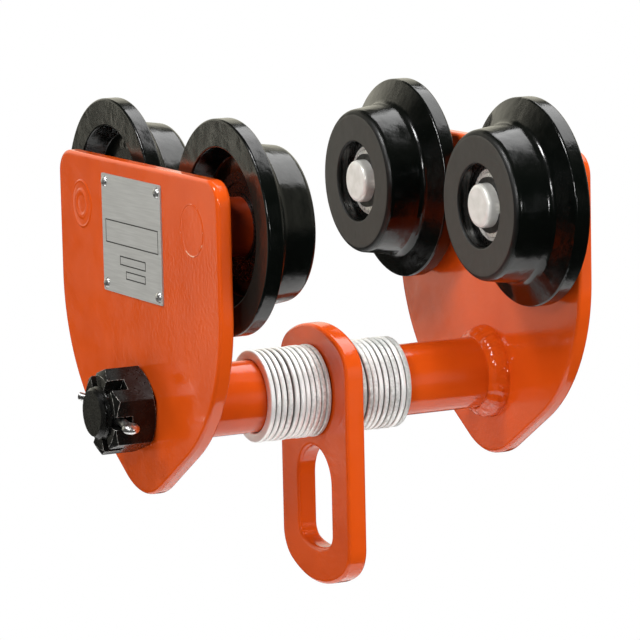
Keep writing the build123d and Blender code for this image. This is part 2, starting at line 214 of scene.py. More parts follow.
def lathe(name, section, steps=96):
    """Spin half a section about X. A section that starts off the axis is closed to a ring."""
    spots = [Vector((along, 0, radius)) * MM for along, radius, rounding in section]
    select_only()
    bpy.ops.mesh.primitive_circle_add(vertices=3, radius=MM)
    piece = bpy.context.object
    piece.name = name
    bpy.ops.object.mode_set(mode="EDIT")
    bpy.ops.mesh.select_all(action="SELECT")
    bpy.ops.mesh.merge(type="CENTER")
    bpy.ops.transform.translate(value=spots[0])
    for here, there in zip(spots, spots[1:]):
        bpy.ops.mesh.extrude_region_move(TRANSFORM_OT_translate={"value": there - here})
    if section[0][1] > 0:
        select_spots(piece, [spots[0], spots[-1]])
        bpy.ops.mesh.edge_face_add()
    for number, (along, radius, rounding) in enumerate(section):
        if rounding:
            before = spots[number] - spots[number - 1]
            after = spots[(number + 1) % len(spots)] - spots[number]
            reach = rounding * MM * math.tan(before.angle(after) / 2)
            select_spots(piece, [spots[number]])
            bpy.ops.mesh.bevel(offset=reach, segments=ROUND_SEGMENTS, affect="VERTICES")
    bpy.ops.mesh.select_all(action="SELECT")
    bpy.ops.mesh.spin(steps=steps, angle=2 * math.pi, center=(0, 0, 0), axis=(1, 0, 0))
    bpy.ops.mesh.select_all(action="SELECT")
    bpy.ops.mesh.remove_doubles(threshold=MERGE_DISTANCE)
    bpy.ops.mesh.normals_make_consistent(inside=False)
    bpy.ops.object.mode_set(mode="OBJECT")
    return piece


# %% [markdown]
# ## Helpers for finishes
# Every finish is a small tree of nodes on a piece's own coordinates, in metres. Noise makes
# the uneven tone, the sheen and the fine relief that paint and metal have, and a distance
# along the shaft's axis tells painted stretches from bare ones.

# %% Define the finish helpers
class Finish:
    """A material with one Principled shader, and short ways to add nodes to it."""

    def __init__(self, name):
        self.material = bpy.data.materials.new(name)
        self.material.use_nodes = True
        self.nodes = self.material.node_tree.nodes
        self.links = self.material.node_tree.links
        self.shader = self.nodes["Principled BSDF"]
        self.place = self.add("ShaderNodeTexCoord").outputs["Object"]

    def add(self, kind, **settings):
        node = self.nodes.new(kind)
        for setting, value in settings.items():
            setattr(node, setting, value)
        return node

    def feed(self, source, target):
        self.links.new(source, target)

    def into(self, socket, source):
        """Feed one of the shader's sockets."""
        self.feed(source, self.shader.inputs[socket])

    def set(self, socket, value):
        """Set one of the shader's sockets to a constant."""
        self.shader.inputs[socket].default_value = value

    def noise(self, size, detail=2.0, stretch=(1, 1, 1)):
        """Noise with patches of about this size, in metres; stretch packs it along an axis."""
        mapping = self.add("ShaderNodeMapping")
        mapping.inputs["Scale"].default_value = [factor / size for factor in stretch]
        self.feed(self.place, mapping.inputs["Vector"])
        noise = self.add("ShaderNodeTexNoise")
        noise.inputs["Scale"].default_value = 1.0
        noise.inputs["Detail"].default_value = detail
        self.feed(mapping.outputs["Vector"], noise.inputs["Vector"])
        return noise.outputs["Fac"]

    def ramp(self, source, low, high, start=0.3, end=0.7):
        """Colours from low to high."""
        ramp = self.add("ShaderNodeValToRGB")
        ramp.color_ramp.elements[0].position = start
        ramp.color_ramp.elements[1].position = end
        ramp.color_ramp.elements[0].color = (*low, 1)
        ramp.color_ramp.elements[1].color = (*high, 1)
        self.feed(source, ramp.inputs["Fac"])
        return ramp.outputs["Color"]

    def spread(self, source, low, high, start=0.3, end=0.7):
        """Numbers from low to high."""
        spread = self.add("ShaderNodeMapRange")
        spread.inputs["From Min"].default_value = start
        spread.inputs["From Max"].default_value = end
        spread.inputs["To Min"].default_value = low
        spread.inputs["To Max"].default_value = high
        self.feed(source, spread.inputs["Value"])
        return spread.outputs["Result"]

    def math(self, operation, first, second):
        node = self.add("ShaderNodeMath", operation=operation)
        for socket, value in zip(node.inputs, (first, second)):
            if isinstance(value, (int, float)):
                socket.default_value = value
            else:
                self.feed(value, socket)
        return node.outputs["Value"]

    def from_middle(self):
        """Distance from the middle of the trolley along the shaft's axis."""
        axes = self.add("ShaderNodeSeparateXYZ")
        self.feed(self.place, axes.inputs["Vector"])
        return self.math("ABSOLUTE", axes.outputs["X"], 0)

    def from_axle(self):
        """Distance from the nearest of the four axles."""
        axes = self.add("ShaderNodeSeparateXYZ")
        self.feed(self.place, axes.inputs["Vector"])
        spoke = self.add("ShaderNodeCombineXYZ")
        across = self.math("SUBTRACT", self.math("ABSOLUTE", axes.outputs["Y"], 0), axle_reach)
        self.feed(across, spoke.inputs["X"])
        self.feed(self.math("SUBTRACT", axes.outputs["Z"], axle_height), spoke.inputs["Y"])
        length = self.add("ShaderNodeVectorMath", operation="LENGTH")
        self.feed(spoke.outputs["Vector"], length.inputs[0])
        return length.outputs["Value"]

    def from_shaft(self):
        """Distance from the shaft's axis."""
        flat = self.add("ShaderNodeMapping")
        flat.inputs["Location"].default_value = (0, 0, -shaft_axis.z)
        flat.inputs["Scale"].default_value = (0, 1, 1)
        self.feed(self.place, flat.inputs["Vector"])
        length = self.add("ShaderNodeVectorMath", operation="LENGTH")
        self.feed(flat.outputs["Vector"], length.inputs[0])
        return length.outputs["Value"]

    def blend(self, mask, first, second):
        """One colour where the mask is 0, another where it is 1."""
        mix = self.add("ShaderNodeMix", data_type="RGBA")
        self.feed(mask, mix.inputs["Factor"])
        sockets = [socket for socket in mix.inputs if socket.type == "RGBA"]
        for socket, value in zip(sockets, (first, second)):
            if isinstance(value, tuple):
                socket.default_value = (*value, 1)
            else:
                self.feed(value, socket)
        return next(socket for socket in mix.outputs if socket.type == "RGBA")

    def relief(self, *layers):
        """Stack bumps; a layer is a height from 0 to 1 and its depth in metres."""
        normal = None
        for height, depth in layers:
            bump = self.add("ShaderNodeBump")
            bump.inputs["Distance"].default_value = depth
            self.feed(height, bump.inputs["Height"])
            if normal:
                self.feed(normal, bump.inputs["Normal"])
            normal = bump.outputs["Normal"]
        self.into("Normal", normal)


# %% [markdown]
# ## Orange paint
# Plates, shaft and hanger wear one thick coat of gloss orange, sprayed over scale and weld.
# It has a fine orange-peel skin, slow waves from the rolled steel under it, and a tone that
# drifts a little.

# %% Mix the orange paint
ORANGE_DEEP = (0.59, 0.067, 0.0045)
ORANGE_LIGHT = (0.66, 0.080, 0.0065)
TONE_SIZE = 26 * MM
PEEL_SIZE = 1.6 * MM
PEEL_DEPTH = 0.042 * MM
WAVE_SIZE = 16 * MM
WAVE_DEPTH = 0.02 * MM


def orange_tone(finish):
    return finish.ramp(finish.noise(TONE_SIZE, 3), ORANGE_DEEP, ORANGE_LIGHT)


def paint_gloss(finish):
    return finish.spread(finish.noise(9 * MM), 0.09, 0.17)


def paint_relief(finish):
    finish.relief((finish.noise(WAVE_SIZE), WAVE_DEPTH), (finish.noise(PEEL_SIZE), PEEL_DEPTH))


orange_paint = Finish("orange_gloss_paint")
orange_paint.into("Base Color", orange_tone(orange_paint))
orange_paint.into("Roughness", paint_gloss(orange_paint))
paint_relief(orange_paint)
for node in ("left_side_plate", "right_side_plate", "hanger_plate"):
    coat_solid(node, orange_paint.material)
print("painted:", orange_paint.material.name)

# %% [markdown]
# ## Black wheels
# The cast wheels are dipped in gloss black, which follows the waves and the grain of the
# casting, and is a shade paler on the back of the flange. The small end is then faced in a
# lathe, so it is dull dark grey with fine turning marks. Both faces are flat, so the distance
# from the middle of the trolley tells them apart, and the marks follow that from the axle.

# %% Mix the wheel finish
WHEEL_BLACK = (0.0010, 0.0016, 0.0013)
TURNED_GREY = (0.056, 0.054, 0.048)
SATIN_BLACK = (0.012, 0.013, 0.011)
FACE_DEPTH = 0.12 * MM
EDGE_DEPTH = 1.8 * MM
TURNED_DULL = 0.4
TURNING_PITCH = 0.35 * MM
TURNING_DEPTH = 0.02 * MM
CAST_SIZE = 9 * MM
CAST_DEPTH = 0.32 * MM
GRAIN_SIZE = 1.1 * MM
GRAIN_DEPTH = 0.030 * MM
wheel_end = abs(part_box("left_front_wheel")[1].x)
wheel_back = abs(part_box("left_front_wheel")[0].x)

wheel_paint = Finish("black_wheel_paint")
turned_face = wheel_paint.math("LESS_THAN", wheel_paint.from_middle(), wheel_end + FACE_DEPTH)
flange_back = wheel_paint.math("GREATER_THAN", wheel_paint.from_middle(), wheel_back - FACE_DEPTH)
wheel_tone = wheel_paint.blend(flange_back, WHEEL_BLACK, SATIN_BLACK)
wheel_paint.into("Base Color", wheel_paint.blend(turned_face, wheel_tone, TURNED_GREY))
wheel_gloss = wheel_paint.spread(wheel_paint.noise(7 * MM), 0.12, 0.24)
dull = wheel_paint.spread(
    wheel_paint.from_middle(), TURNED_DULL, 0, wheel_end + FACE_DEPTH, wheel_end + EDGE_DEPTH,
)
wheel_paint.into("Roughness", wheel_paint.math("ADD", wheel_gloss, dull))
marks = wheel_paint.add("ShaderNodeTexNoise", noise_dimensions="1D")
marks.inputs["Scale"].default_value = 1 / TURNING_PITCH
wheel_paint.feed(wheel_paint.from_axle(), marks.inputs["W"])
wheel_paint.relief(
    (wheel_paint.noise(CAST_SIZE), CAST_DEPTH),
    (wheel_paint.noise(GRAIN_SIZE, 3), GRAIN_DEPTH),
    (wheel_paint.math("MULTIPLY", marks.outputs["Fac"], turned_face), TURNING_DEPTH),
)
for corner in axles:
    coat_solid(f"{corner}_wheel", wheel_paint.material)
print("turned face at, mm:", round(wheel_end / MM, 1))

# %% [markdown]
# ## Axle pins, bearings and circlips
# Each axle pin is turned from bar. Its collar was sprayed with the plate, in an orange darkened
# with painted shade for the shade it lies in between plate and wheel. The stub in the wheel stayed
# bare, and is smoother on its side than on its end. The bearing is bright round the stub, black
# further than 13.8 mm from the axle, and dark on its half towards the plate.
# The circlip is spring steel.

# %% Mix the axle finish
STEEL_LOW = (0.80, 0.79, 0.74)
STEEL_HIGH = (0.92, 0.91, 0.87)
# Painted shade: the collar orange is darkened for the shade between plate and wheel.
SHADED_COLLAR_DEEP = (0.26, 0.022, 0.002)
SHADED_COLLAR_LIGHT = (0.36, 0.034, 0.003)
END_DEPTH = 0.7 * MM
STUB_METAL = 0.2
STUB_POLISH = 0.14
stub_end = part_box("right_front_axle_pin")[0].x
bearing_low, bearing_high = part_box("right_front_bearing_outer_ring")
bearing_front = bearing_low.x
bearing_back = bearing_high.x

axle_finish = Finish("axle_steel_with_painted_collar")
bare = axle_finish.math("LESS_THAN", axle_finish.from_middle(), bearing_back)
stub_side = axle_finish.math("GREATER_THAN", axle_finish.from_middle(), stub_end + END_DEPTH)
polished = axle_finish.math("MULTIPLY", bare, stub_side)
axle_steel = axle_finish.ramp(axle_finish.noise(5 * MM, 2), STEEL_LOW, STEEL_HIGH, 0.34, 0.62)
shaded_collar_paint = axle_finish.ramp(axle_finish.noise(8 * MM), SHADED_COLLAR_DEEP, SHADED_COLLAR_LIGHT)
axle_finish.into("Base Color", axle_finish.blend(bare, shaded_collar_paint, axle_steel))
axle_finish.into("Metallic", axle_finish.math("MULTIPLY", bare, STUB_METAL))
axle_rough = axle_finish.spread(axle_finish.noise(2 * MM), 0.30, 0.40)
smoother = axle_finish.math("MULTIPLY", polished, STUB_POLISH)
axle_finish.into("Roughness", axle_finish.math("SUBTRACT", axle_rough, smoother))
axle_finish.relief((axle_finish.noise(4 * MM), 0.05 * MM), (axle_finish.noise(1 * MM), 0.005 * MM))

# %% Mix the bearing and circlip finishes
BEARING_BACK_DARK = (0.006, 0.0055, 0.005)
BRIGHT_REACH = 13.8 * MM
RING_METAL = 0.4

bearing_steel = Finish("ground_bearing_steel")
bearing_middle = (bearing_front + bearing_back) / 2
# The rings are dark on their half towards the plate, and black further than BRIGHT_REACH from the axle.
towards_plate = bearing_steel.math("GREATER_THAN", bearing_steel.from_middle(), bearing_middle)
painted = bearing_steel.math("GREATER_THAN", bearing_steel.from_axle(), BRIGHT_REACH)
dark = bearing_steel.math("MAXIMUM", towards_plate, painted)
bright = bearing_steel.ramp(bearing_steel.noise(2 * MM), STEEL_LOW, STEEL_HIGH)
bearing_steel.into("Base Color", bearing_steel.blend(dark, bright, BEARING_BACK_DARK))
bearing_steel.into("Metallic", bearing_steel.math("SUBTRACT", RING_METAL, dark))
bearing_steel.into("Roughness", bearing_steel.spread(bearing_steel.noise(1 * MM), 0.22, 0.36))

spring_steel = Finish("dark_spring_steel")
spring_noise = spring_steel.noise(1.5 * MM)
spring_steel.into("Base Color", spring_steel.ramp(spring_noise, (0.012, 0.012, 0.012), (0.04, 0.04, 0.04)))
spring_steel.into("Roughness", spring_steel.spread(spring_steel.noise(0.8 * MM), 0.3, 0.45))
spring_steel.set("Metallic", 0.5)

corner_finishes = {
    "axle_pin": axle_finish,
    "circlip": spring_steel,
    "bearing_outer_ring": bearing_steel,
    "bearing_inner_ring": bearing_steel,
    "bearing_balls": bearing_steel,
    "bearing_cage": bearing_steel,
    "bearing_shields": bearing_steel,
}
for corner in axles:
    for piece_name, corner_finish in corner_finishes.items():
        coat_solid(f"{corner}_{piece_name}", corner_finish.material)
print("finishes for each corner:", len(corner_finishes))

# %% [markdown]
# ## Cross shaft
# The shaft is a turned bar, painted between the plates. It is spun from its section, with a
# small round on the shoulder that the loose plate is clamped against, and a spigot that ends
# flush in the welded plate.

# %% Turn the shaft
SHOULDER_ROUND = 0.5
SPIGOT_RADIUS = 10.0
inner_mm = abs(plate_inner) / MM
outer_mm = abs(plate_outer) / MM
bar_mm = shaft_radius / MM
shaft_bar = lathe("shaft_bar", [
    (-inner_mm, 0, 0),
    (-inner_mm, bar_mm, SHOULDER_ROUND),
    (inner_mm, bar_mm, 0),
    (inner_mm, SPIGOT_RADIUS, 0),
    (outer_mm, SPIGOT_RADIUS, 0),
    (outer_mm, 0, 0),
], steps=128)
settle(shaft_bar, Matrix.Translation(shaft_axis))
finish_piece(shaft_bar, "frame", orange_paint.material)
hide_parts("cross_shaft")

# %% [markdown]
# ## Threaded end
# The nut turns on an M20 thread. A plain bar with many rings of vertices is lathed first, and
# each vertex is then moved in by the depth of the thread at its place on the helix. The ends
# run out in a chamfer, as they do under a die.

# %% Cut the thread
THREAD_RADIUS = 10.0
THREAD_PITCH = 2.5
THREAD_DEPTH = 1.2
THREAD_CHAMFER = 1.4
RINGS_PER_PITCH = 10
CREST_SHARE = 0.18
thread_start = bar_low.x / MM
thread_length = -inner_mm - thread_start
ring_count = int(thread_length / THREAD_PITCH * RINGS_PER_PITCH)
thread_section = [(thread_start, 0, 0)]
for ring in range(ring_count + 1):
    thread_section.append((thread_start + thread_length * ring / ring_count, THREAD_RADIUS, 0))
thread_section.append((-inner_mm, 0, 0))
threaded_end = lathe("threaded_end", thread_section, steps=72)
for vertex in threaded_end.data.vertices:
    along = vertex.co.x / MM - thread_start
    radius = math.hypot(vertex.co.y, vertex.co.z) / MM
    if radius > 1:
        turn = math.atan2(vertex.co.z, vertex.co.y) / (2 * math.pi)
        phase = (along / THREAD_PITCH - turn) % 1
        valley = max(0, 1 - abs(phase - 0.5) / (0.5 - CREST_SHARE / 2))
        crest = THREAD_RADIUS - max(0, THREAD_CHAMFER - along)
        wanted = min(THREAD_RADIUS - THREAD_DEPTH * valley, crest)
        vertex.co.y *= wanted / radius
        vertex.co.z *= wanted / radius
settle(threaded_end, Matrix.Translation(shaft_axis))

# %% [markdown]
# ## Black oxide
# Nut and thread are blackened steel with a thin film of oil. The black is rubbed through to
# bright steel on the nut's edges, which also stands as a painted highlight along them, so the nut
# gets a second finish for its bevelled edges.

# %% Mix the black oxide and the worn edge
OXIDE_DEEP = (0.0025, 0.0025, 0.0025)
OXIDE_LIGHT = (0.008, 0.008, 0.007)
RUBBED_DARK = (0.012, 0.012, 0.012)
RUBBED_AND_GLINT_BRIGHT = (0.60, 0.58, 0.54)
RUB_GLINT_START = 0.44
RUB_GLINT_END = 0.62
black_oxide = Finish("oiled_black_oxide")
oxide_noise = black_oxide.noise(3 * MM, 4)
black_oxide.into("Base Color", black_oxide.ramp(oxide_noise, OXIDE_DEEP, OXIDE_LIGHT))
black_oxide.into("Roughness", black_oxide.spread(black_oxide.noise(2 * MM, 3), 0.20, 0.30))
black_oxide.set("Specular IOR Level", 0.3)
black_oxide.relief((black_oxide.noise(1.4 * MM, 3), 0.014 * MM))

# Rubbed bright steel on the bevels, also a painted highlight along the nut's edges.
worn_and_glint_edge = Finish("black_oxide_worn_to_steel_with_painted_glint")
worn_and_glint_patch = worn_and_glint_edge.noise(1.8 * MM, 4)
rubbed_and_glint = worn_and_glint_edge.ramp(worn_and_glint_patch, RUBBED_DARK, RUBBED_AND_GLINT_BRIGHT, RUB_GLINT_START, RUB_GLINT_END)
worn_and_glint_edge.into("Base Color", rubbed_and_glint)
worn_and_glint_edge.into("Metallic", worn_and_glint_edge.spread(worn_and_glint_patch, 0.0, 0.5, RUB_GLINT_START, RUB_GLINT_END))
worn_and_glint_edge.into("Roughness", worn_and_glint_edge.spread(worn_and_glint_patch, 0.28, 0.36))
finish_piece(threaded_end, "frame", black_oxide.material)

# %% [markdown]
# ## Castle nut
# The nut starts as a six-sided cylinder. A lathed envelope trims both ends to a chamfer and
# opens the bore, three bars cut the six slots for the cotter pin, and a bevel softens what is
# left.

# %% Shape the nut
NUT_FLATS = 29.5
NUT_CHAMFER = 30
NUT_BITE = 0.6
SLOT_DEPTH = 7.0
SLOT_WIDTH = 5.0
SLOT_TILT = 9
NUT_BEVEL = 0.3
nut_low, nut_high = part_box("castle_nut")
nut_end = nut_low.x / MM
nut_seat = nut_high.x / MM
nut_corner = NUT_FLATS / 2 / math.cos(math.radians(30))
nut_face = NUT_FLATS / 2 - NUT_BITE
chamfer_length = (nut_corner - nut_face) * math.tan(math.radians(NUT_CHAMFER))


def turned_to(degrees):
    return Matrix.Translation(shaft_axis) @ Matrix.Rotation(math.radians(degrees), 4, "X")


select_only()
bpy.ops.mesh.primitive_cylinder_add(vertices=6, radius=nut_corner * MM, depth=(nut_seat - nut_end) * MM)
castle_nut = bpy.context.object
castle_nut.name = "slotted_nut"
along_x = Matrix.Translation(((nut_end + nut_seat) / 2 * MM, 0, 0)) @ Matrix.Rotation(math.pi / 2, 4, "Y")
settle(castle_nut, turned_to(SLOT_TILT + 30) @ along_x)
envelope = lathe("nut_envelope", [
    (nut_end, THREAD_RADIUS, 0),
    (nut_end, nut_face, 0),
    (nut_end + chamfer_length, nut_corner, 0),
    (nut_seat - chamfer_length, nut_corner, 0),
    (nut_seat, nut_face, 0),
    (nut_seat, THREAD_RADIUS, 0),
], steps=120)
settle(envelope, turned_to(0))
apply_modifier(castle_nut, "BOOLEAN", object=envelope, operation="INTERSECT")
bpy.data.objects.remove(envelope)
for slot_turn in (SLOT_TILT, SLOT_TILT + 60, SLOT_TILT + 120):
    select_only()
    bpy.ops.mesh.primitive_cube_add(size=1, location=(nut_end * MM, 0, 0))
    slot_bar = bpy.context.object
    slot_bar.scale = Vector((2 * SLOT_DEPTH, 3 * nut_corner, SLOT_WIDTH)) * MM
    settle(slot_bar, turned_to(slot_turn))
    apply_modifier(castle_nut, "BOOLEAN", object=slot_bar, operation="DIFFERENCE")
    bpy.data.objects.remove(slot_bar)
castle_nut.data.materials.clear()
castle_nut.data.materials.append(black_oxide.material)
castle_nut.data.materials.append(worn_and_glint_edge.material)
apply_modifier(
    castle_nut, "BEVEL", width=NUT_BEVEL * MM, segments=3, limit_method="ANGLE",
    angle_limit=math.radians(28), material=1,
)
finish_piece(castle_nut, "frame", black_oxide.material, smooth_angle=12)
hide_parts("castle_nut")

# %% [markdown]
# ## Weld
# The bead that joins the shaft to the right plate was laid by hand, in many small puddles.
# Its round section is lathed, and the vertices are then pushed out by slow lumps and by
# crescent ripples that lag behind at the middle of the bead, each of its own height.

# %% Lay the weld bead
WELD_POINTS = 14
WELD_STEPS = 300
RIPPLES = 24
RIPPLE_HEIGHT = 0.42
LUMP_HEIGHT = 1.4
RIPPLE_LAG = 0.09
BEAD_POWER = 1.25
WELD_ROOT = 0.2
SKIN_SIZE = 2.8 * MM
SKIN_DEPTH = 0.60 * MM
weld_low, weld_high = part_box("shaft_weld")
weld_length = (weld_high.x - weld_low.x) / MM
weld_rise = (weld_high.y - weld_low.y) / 2 / MM - bar_mm
weld_section = [
    (inner_mm + 0.1, bar_mm - WELD_ROOT, 0),
    (inner_mm - weld_length, bar_mm - WELD_ROOT, 0),
]
for point in range(WELD_POINTS + 1):
    bow = math.pi / 2 * point / WELD_POINTS
    along = inner_mm - weld_length * math.cos(bow) ** BEAD_POWER
    weld_section.append((along, bar_mm + weld_rise * math.sin(bow) ** BEAD_POWER, 0))
weld_bead = lathe("weld_bead", weld_section, steps=WELD_STEPS)
rng = random.Random(7)
lumps = []
for waves in (2, 3, 5, 8, 11, 15, 19):
    lumps.append((waves, rng.uniform(0.5, 1.0) / waves ** 0.4, rng.uniform(0, 2 * math.pi)))
lump_sum = sum(size for waves, size, start in lumps)
puddles = random.Random(11)
ripple_sizes = [puddles.uniform(0.1, 1.0) for puddle in range(RIPPLES)]
for vertex in weld_bead.data.vertices:
    radius = math.hypot(vertex.co.y, vertex.co.z) / MM
    rise = (radius - bar_mm) / weld_rise
    run = (inner_mm - vertex.co.x / MM) / weld_length
    if rise < -0.01 or run < 0:
        continue
    bow = math.atan2(max(rise, 0), run) / (math.pi / 2)
    swell = math.sin(math.pi * min(1, max(0, bow)))
    turn = math.atan2(vertex.co.z, vertex.co.y)
    lag = RIPPLE_LAG * swell
    puddle = int((turn + lag) % (2 * math.pi) / (2 * math.pi) * RIPPLES)
    ripple = 1 - abs(math.cos((turn + lag) * RIPPLES / 2))
    ripple *= ripple_sizes[min(puddle, RIPPLES - 1)]
    lump = sum(size * math.sin(waves * turn + start) for waves, size, start in lumps) / lump_sum
    push = (RIPPLE_HEIGHT * ripple + LUMP_HEIGHT * lump) * swell
    vertex.co.x -= push * math.cos(bow * math.pi / 2) * MM
    grow = 1 + push * math.sin(bow * math.pi / 2) / radius
    vertex.co.y *= grow
    vertex.co.z *= grow
settle(weld_bead, Matrix.Translation(shaft_axis))
wet_paint = Finish("orange_paint_on_weld")
wet_paint.into("Base Color", orange_tone(wet_paint))
wet_paint.into("Roughness", wet_paint.spread(wet_paint.noise(5 * MM), 0.07, 0.13))
wet_paint.relief((wet_paint.noise(SKIN_SIZE, 1), SKIN_DEPTH), (wet_paint.noise(1.2 * MM), 0.03 * MM))
finish_piece(weld_bead, "frame", wet_paint.material, smooth_angle=60)
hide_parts("shaft_weld")

# %% [markdown]
# ## Spacer washers
# The washers are stamped from zinc-plated strip. No two sit quite alike: they hang on the
# shaft by their bores, lean a little and leave uneven gaps. Inside the rim their faces carry
# painted shade for the shade between neighbours. One washer is lathed and copied, and each copy
# carries its own tone, since some are duller, and its own depth of painted shade; the end washers
# get none.

# %% Stamp one washer
WASHER_EDGE = 0.58
WASHER_BURR = 0.3
WASHER_THICKNESS = 2.12
BORE_ROOM = 0.35
washer_low, washer_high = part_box("left_spacer_washers")
washer_outer = (washer_high.y - washer_low.y) / 2 / MM
washer_bore = bar_mm + BORE_ROOM
washer_pattern = lathe("washer_pattern", [
    (-WASHER_THICKNESS / 2, washer_bore, WASHER_BURR),
    (-WASHER_THICKNESS / 2, washer_outer, WASHER_EDGE),
    (WASHER_THICKNESS / 2, washer_outer, WASHER_EDGE),
    (WASHER_THICKNESS / 2, washer_bore, WASHER_BURR),
])
print("washer radii, mm:", round(washer_bore, 2), round(washer_outer, 2))

# %% Mix the zinc finish
ZINC_DULL = (0.58, 0.60, 0.58)
ZINC_BRIGHT = (0.96, 0.98, 0.96)
# Painted shade: washer faces darken from near the rim inward, for the shade between neighbours.
GAP_SHADE = (0.030, 0.030, 0.027)
SHADE_FULL = 0.9
SHADE_NONE = 0.35
zinc = Finish("zinc_plate")
own_tone = zinc.add("ShaderNodeAttribute", attribute_name="tone").outputs["Fac"]
own_gap_shade = zinc.add("ShaderNodeAttribute", attribute_name="gap_shade").outputs["Fac"]
mottle = zinc.math("MULTIPLY", zinc.noise(1.4 * MM, 4), 0.5)
mottle = zinc.math("ADD", mottle, zinc.math("MULTIPLY", own_tone, 0.5))
plating = zinc.ramp(mottle, ZINC_DULL, ZINC_BRIGHT, 0.26, 0.54)
shade_start = (washer_outer - SHADE_FULL) * MM
shade_end = (washer_outer - SHADE_NONE) * MM
inward = zinc.spread(zinc.from_shaft(), 1, 0, shade_start, shade_end)
zinc.into("Base Color", zinc.blend(zinc.math("MULTIPLY", inward, own_gap_shade), plating, GAP_SHADE))
zinc.into("Roughness", zinc.spread(zinc.noise(1.0 * MM), 0.30, 0.50))
zinc.relief((zinc.noise(0.7 * MM, 3), 0.08 * MM), (zinc.noise(4 * MM), 0.10 * MM))
zinc.set("Metallic", 0.42)

# %% Stack the washers
HANG = 0.15
LEAN = 0.2
THINNEST = 0.84
SMALLEST = -0.009
LARGEST = 0.006
LEAST_SHADE = 0.4
GAP_SHARES = (0.5, 0.8, 1.1, 1.6, 2.2)


def stack(name, count, body, node):
    """Copies of the washer in the box of a solid pack; most nearly touch, some leave a gap."""
    pack_low, pack_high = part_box(node)
    thin = [rng.uniform(THINNEST, 1.0) for number in range(count)]
    gaps = [rng.choice(GAP_SHARES) for number in range(count - 1)] + [0]
    spare = (pack_high.x - pack_low.x) / MM - WASHER_THICKNESS * sum(thin)
    along = pack_low.x / MM
    copies = []
    for number in range(count):
        thickness = WASHER_THICKNESS * thin[number]
        lean_y = Matrix.Rotation(math.radians(rng.uniform(-LEAN, LEAN)), 4, "Y")
        lean_z = Matrix.Rotation(math.radians(rng.uniform(-LEAN, LEAN)), 4, "Z")
        turn = Matrix.Rotation(rng.uniform(0, 2 * math.pi), 4, "X")
        size = 1 + rng.uniform(SMALLEST, LARGEST)
        hang = Matrix.Translation(shaft_axis + Vector((along + thickness / 2, 0, -HANG)) * MM)
        place = hang @ lean_y @ lean_z @ turn @ Matrix.Diagonal((thin[number], size, size, 1))
        copy = copy_of(washer_pattern, f"{name}_{number}", place)
        # The two end washers get no painted shade; the others get a random depth of it.
        inside_pack = 0 < number < count - 1
        gap_shade = rng.uniform(LEAST_SHADE, 1.0) if inside_pack else 0
        for value_name, value in (("tone", rng.random()), ("gap_shade", gap_shade)):
            values = copy.data.attributes.new(value_name, "FLOAT", "POINT")
            values.data.foreach_set("value", [value] * len(copy.data.vertices))
        copies.append(copy)
        along += thickness + spare * gaps[number] / sum(gaps)
    pack = joined(copies, name)
    finish_piece(pack, body, zinc.material)
    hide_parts(node)


stack("washers_beside_hanger", 2, "hanger_carriage", "hanger_washers")
stack("left_washers", 10, "left_pack", "left_spacer_washers")
stack("right_washers", 10, "right_pack", "right_spacer_washers")
bpy.data.objects.remove(washer_pattern)

# %% [markdown]
# ## Riveted axle ends
# Each axle is riveted over on the outside of its plate and painted with it. At the back a low
# ring with a dished middle shows. At the front the end was ground flush, and only a thin ridge
# of paint follows its rim, chipped here and there. Both are lathed once and copied.

# %% Rivet the axle ends
RIVET_RADIUS = 9.6
RIVET_RISE = 0.45
CHIP_COLOUR = (0.76, 0.46, 0.30)
ringed_end = lathe("ringed_end", [
    (-0.1, 0, 0),
    (0.12, 0, 0),
    (0.12, 3.4, 0.5),
    (RIVET_RISE, 4.4, 0.5),
    (RIVET_RISE, 5.4, 0.5),
    (0.16, 6.2, 0.4),
    (0.22, 8.2, 0.4),
    (RIVET_RISE, 8.9, 0.4),
    (-0.1, RIVET_RADIUS, 0.2),
    (-0.1, RIVET_RADIUS + 0.1, 0),
])
flush_end = lathe("flush_end", [
    (-0.1, 0, 0),
    (0.05, 0, 0),
    (0.05, RIVET_RADIUS - 0.8, 0),
    (0.05, RIVET_RADIUS - 0.35, 0.1),
    (0.20, RIVET_RADIUS - 0.15, 0.1),
    (0.20, RIVET_RADIUS, 0.1),
    (-0.1, RIVET_RADIUS + 0.3, 0),
])

chipped_paint = Finish("orange_paint_chipped_at_the_rim")
rim = chipped_paint.math("GREATER_THAN", chipped_paint.from_axle(), (RIVET_RADIUS - 0.3) * MM)
chips = chipped_paint.spread(chipped_paint.noise(4 * MM, 4), 0, 1, 0.54, 0.60)
chips = chipped_paint.math("MULTIPLY", chips, rim)
chipped_paint.into("Base Color", chipped_paint.blend(chips, orange_tone(chipped_paint), CHIP_COLOUR))
chipped_paint.into("Roughness", paint_gloss(chipped_paint))
paint_relief(chipped_paint)

for corner, middle in axles.items():
    outward = math.pi if corner.startswith("left") else 0
    outer_x = plate_outer if corner.startswith("left") else -plate_outer
    place = Matrix.Translation((outer_x, middle.y, middle.z)) @ Matrix.Rotation(outward, 4, "Z")
    end_shape = ringed_end if corner.endswith("back") else flush_end
    end_paint = orange_paint if corner.endswith("back") else chipped_paint
    riveted = copy_of(end_shape, f"{corner}_axle_end", place)
    finish_piece(riveted, "frame", end_paint.material)
bpy.data.objects.remove(ringed_end)
bpy.data.objects.remove(flush_end)

# %% [markdown]
# ## Name plate
# The name plate is brushed aluminium, with the blank fields of a stock plate printed on it in
# black. Each field is a plane, inset to a thin frame and given a print's thickness. The plate
# and its drive rivets keep their solid shape and get their metal finish.

